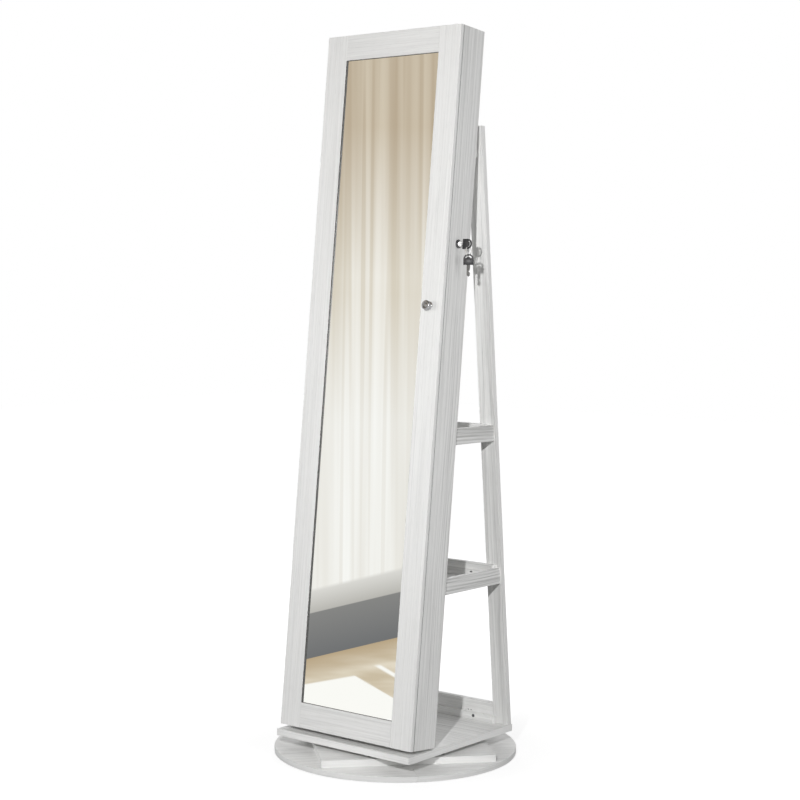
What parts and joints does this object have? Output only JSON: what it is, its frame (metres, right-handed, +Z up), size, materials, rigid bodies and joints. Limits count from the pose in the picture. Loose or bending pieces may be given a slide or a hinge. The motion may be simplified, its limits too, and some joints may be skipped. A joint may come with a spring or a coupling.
{
  "type": "floor mirror",
  "caption": "Full-length leaning mirror that is the lockable door of a slim jewellery cabinet, propped as an A-frame with rear shelf trays on a swivelling round base.",
  "frame": {"origin": "on the floor under the swivel's axis, at the middle of the round base", "axes": "+Z up; the mirror faces -Y; +X is to the right of someone facing the mirror, the lock's side"},
  "size_m": [0.5339, 0.5339, 1.5702],
  "materials": {
    "white_laminate": "white oak-look laminate, fine pale grey grain, satin",
    "mirror": "silvered float glass",
    "chrome": "polished",
    "bright_steel": "nickel plated",
    "dark_steel": "black zinc",
    "race_aluminium": "satin",
    "cage_nylon": "natural nylon",
    "foot_pad": "matt foam rubber",
    "velvet": "black velvet",
    "earring_panel": "black acrylic",
    "backing_board": "raw hardboard",
    "key_plastic": "moulded black"
  },
  "bodies": {
    "base": {"base_disc_left": "white_laminate", "base_disc_right": "white_laminate", "base_pads": "foot_pad", "cross_board": "white_laminate", "base_screws": "dark_steel", "swivel_inner_race": "race_aluminium"},
    "ball_ring": {"swivel_balls": "bright_steel", "swivel_cage": "cage_nylon"},
    "cabinet": {"back_panel": "white_laminate", "bar_sockets": "bright_steel", "bottom_panel": "white_laminate", "bracelet_bar": "velvet", "earring_board": "earring_panel", "guard_rods": "bright_steel", "head_rail": "white_laminate", "hinge_leaves_cabinet": "bright_steel", "hinge_pins": "bright_steel", "hinge_screws": "bright_steel", "lock_barrel": "chrome", "lock_nut": "bright_steel", "lower_tray_back": "white_laminate", "lower_tray_floor": "white_laminate", "lower_tray_sides": "white_laminate", "necklace_hooks": "bright_steel", "platform": "white_laminate", "platform_screws": "dark_steel", "plinth_wedge": "white_laminate", "rear_batten": "white_laminate", "rear_rail": "white_laminate", "rear_screws": "dark_steel", "rear_upright_left": "white_laminate", "rear_upright_right": "white_laminate", "ring_cushion": "velvet", "shelves": "white_laminate", "side_panel_left": "white_laminate", "side_panel_right": "white_laminate", "swivel_outer_race": "race_aluminium", "top_panel": "white_laminate", "tray_screws": "dark_steel", "upper_tray_back": "white_laminate", "upper_tray_floor": "white_laminate", "upper_tray_sides": "white_laminate"},
    "door": {"door_stile_left": "white_laminate", "door_stile_right": "white_laminate", "door_rail_top": "white_laminate", "door_rail_bottom": "white_laminate", "mirror_glass": "mirror", "mirror_backing": "backing_board", "door_knob": "chrome", "door_screws": "dark_steel", "lock_strike": "bright_steel", "hinge_leaves_door": "bright_steel"},
    "lock_plug": {"lock_plug": "chrome", "lock_cam": "bright_steel", "cam_screw": "bright_steel"},
    "key": {"key_blade": "bright_steel", "key_bow": "key_plastic"},
    "key_ring": {"key_ring": "bright_steel"},
    "spare_key": {"spare_key_blade": "bright_steel", "spare_key_bow": "key_plastic"}
  },
  "joints": [
    {"name": "swivel", "type": "hinge", "parent": "base", "child": "cabinet", "pos_m": [0, 0, 0.0325], "axis": [0, 0, 1], "continuous": true},
    {"name": "ball_roll", "type": "hinge", "parent": "base", "child": "ball_ring", "pos_m": [0, 0, 0.0325], "axis": [0, 0, 1], "continuous": true},
    {"name": "door_hinge", "type": "hinge", "parent": "cabinet", "child": "door", "pos_m": [-0.184, -0.09192, 0.81497], "axis": [0, -0.0985, -0.9951], "range_deg": [0, 120]},
    {"name": "lock_turn", "type": "hinge", "parent": "cabinet", "child": "lock_plug", "pos_m": [0.183, -0.03067, 1.11309], "axis": [-1, 0, 0], "range_deg": [0, 90]},
    {"name": "key_slide", "type": "slide", "parent": "lock_plug", "child": "key", "axis": [1, 0, 0], "range_m": [0, 0.02]},
    {"name": "key_ring_swing", "type": "hinge", "parent": "key", "child": "key_ring", "pos_m": [0.21065, -0.03123, 1.10744], "axis": [0, -1, 0], "range_deg": [-3, 40]},
    {"name": "spare_key_swing", "type": "hinge", "parent": "key_ring", "child": "spare_key", "pos_m": [0.21065, -0.03123, 1.08824], "axis": [0, -1, 0], "range_deg": [-3, 40]}
  ],
  "couplings": [
    {"joint": "ball_roll", "follows": "swivel", "ratio": 0.5}
  ]
}
